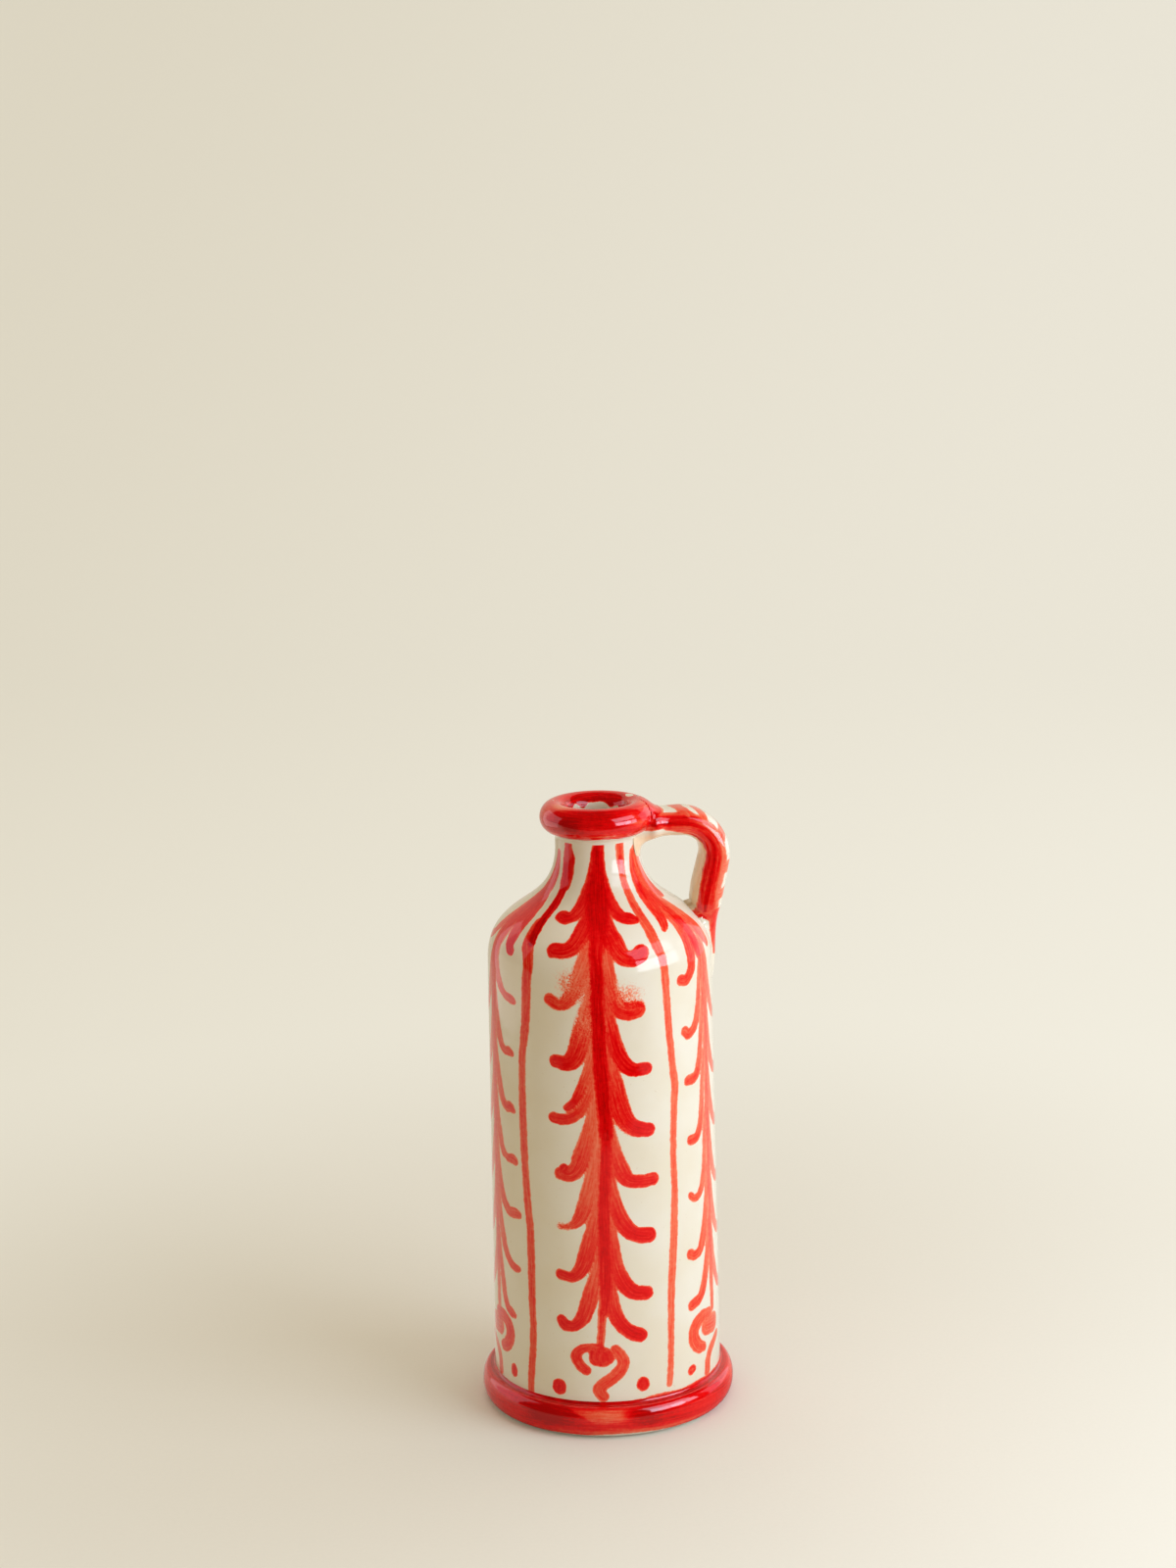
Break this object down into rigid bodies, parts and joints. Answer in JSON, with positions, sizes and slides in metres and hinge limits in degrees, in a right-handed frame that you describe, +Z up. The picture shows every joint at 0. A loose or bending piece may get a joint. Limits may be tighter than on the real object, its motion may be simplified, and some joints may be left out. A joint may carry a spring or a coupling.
{
  "type": "oil cruet",
  "caption": "Tall earthenware oil bottle with an open rolled mouth, a rolled foot and a strap handle, cream glaze with red brush ornament.",
  "frame": {"origin": "centre of the flat base that the cruet stands on", "axes": "+Z up through the open mouth, +X towards the handle, +Y to the left seen from behind the handle looking at the vessel's axis"},
  "size_m": [0.105, 0.1036, 0.25],
  "materials": {
    "cream_glaze": "glossy cream glaze over fired clay, with red brushwork under it",
    "red_glaze": "glossy clear glaze over streaky red brushwork",
    "bare_clay": "wiped, matt fired clay"
  },
  "bodies": {
    "root": {"base_slab": "bare_clay", "foot_roll": "red_glaze", "body_cylinder": "cream_glaze", "shoulder_dome": "cream_glaze", "neck_tube": "cream_glaze", "mouth_roll": "red_glaze", "handle_strap": "red_glaze", "handle_upper_root": "cream_glaze", "handle_lower_root": "red_glaze"}
  },
  "joints": []
}
